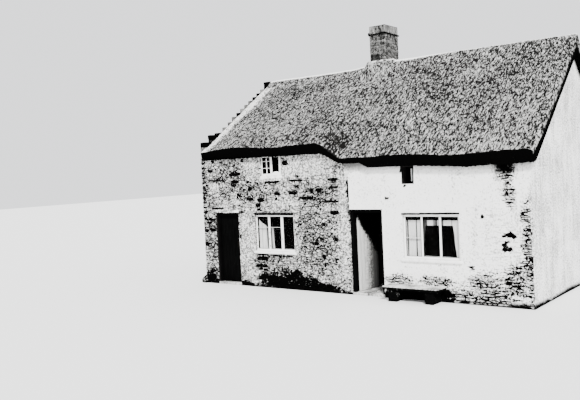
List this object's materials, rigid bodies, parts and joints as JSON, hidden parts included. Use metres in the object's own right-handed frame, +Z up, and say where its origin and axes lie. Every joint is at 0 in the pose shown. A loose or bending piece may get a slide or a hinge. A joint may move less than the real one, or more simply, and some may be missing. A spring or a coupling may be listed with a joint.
{
  "type": "thatched cottage",
  "caption": "Pair of joined stone cottages under one thatched roof, left in bare rubble, right limewashed, with a ridge chimney, a stepped gable parapet and plank doors that open inward.",
  "frame": {"origin": "middle of the building's box at ground level", "axes": "+X along the front wall from the rubble half to the limewashed half, +Y from the front into the building, +Z up"},
  "size_m": [8.81, 6.08, 6.24],
  "materials": {
    "rubble": "coursed rubble with dark open joints and patches of old limewash",
    "limewash": "thick limewash over rubble, mottled and flaked near the ground",
    "coping": "weathered dark stone",
    "chimney_stone": "sooty squared rubble",
    "thatch": "weathered straw thatch, fibrous",
    "ridge_thatch": "smooth packed straw ridge",
    "roof_timber": "rough hewn poles",
    "flagstone": "worn flagstone",
    "floor_boards": "bare boards on joists",
    "pale_door": "old pale paint on planks, worn through along the edges",
    "tarred_timber": "tarred planks, dull black",
    "white_paint": "thick white paint",
    "window_glass": "old slightly wavy glass",
    "curtain_cloth": "thin cotton"
  },
  "bodies": {
    "building": {"left_over_door_wall": "rubble", "left_front_wall": "rubble", "right_over_door_wall": "limewash", "right_front_wall": "limewash", "left_back_wall": "rubble", "right_back_wall": "limewash", "west_gable_wall": "rubble", "east_gable_wall": "limewash", "party_wall": "rubble", "west_parapet_front": "coping", "west_parapet_back": "coping", "left_front_thatch": "thatch", "right_front_thatch": "thatch", "left_back_thatch": "thatch", "right_back_thatch": "thatch", "left_ridge_cap": "ridge_thatch", "right_ridge_cap": "ridge_thatch", "left_front_rafters": "roof_timber", "right_front_rafters": "roof_timber", "left_back_rafters": "roof_timber", "right_back_rafters": "roof_timber", "chimney_front_saddle": "ridge_thatch", "chimney_back_saddle": "ridge_thatch", "chimney_stack": "chimney_stone", "chimney_band": "chimney_stone", "chimney_cap": "chimney_stone", "left_ground_floor": "flagstone", "right_ground_floor": "flagstone", "left_chamber_floor": "floor_boards", "right_chamber_floor": "floor_boards", "left_door_sill": "flagstone", "left_door_frame": "tarred_timber", "right_door_sill": "flagstone", "right_door_frame": "tarred_timber", "left_lower_window_frame": "white_paint", "left_lower_window_glass": "window_glass", "left_lower_window_sill": "limewash", "right_lower_window_frame": "white_paint", "right_lower_window_glass": "window_glass", "right_lower_window_sill": "limewash", "left_upper_window_frame": "white_paint", "left_upper_window_glass": "window_glass", "right_upper_window_frame": "white_paint", "right_upper_window_glass": "window_glass", "left_back_lower_window": "white_paint", "right_back_lower_window": "white_paint", "left_back_upper_window": "white_paint", "right_back_upper_window": "white_paint", "left_window_curtain": "curtain_cloth", "right_window_curtain": "curtain_cloth", "bench_slab": "flagstone", "bench_left_stone": "flagstone", "bench_right_stone": "flagstone", "corner_boulder": "rubble"},
    "left_door": {"left_door_leaf": "tarred_timber"},
    "right_door": {"right_door_leaf": "pale_door"}
  },
  "joints": [
    {"name": "left_door_hinge", "type": "hinge", "parent": "building", "child": "left_door", "pos_m": [-3.646, -2.477, 0], "axis": [0, 0, 1], "range_deg": [0, 90]},
    {"name": "right_door_hinge", "type": "hinge", "parent": "building", "child": "right_door", "pos_m": [0.369, -2.497, 0], "axis": [0, 0, 1], "range_deg": [-82, 10]}
  ]
}
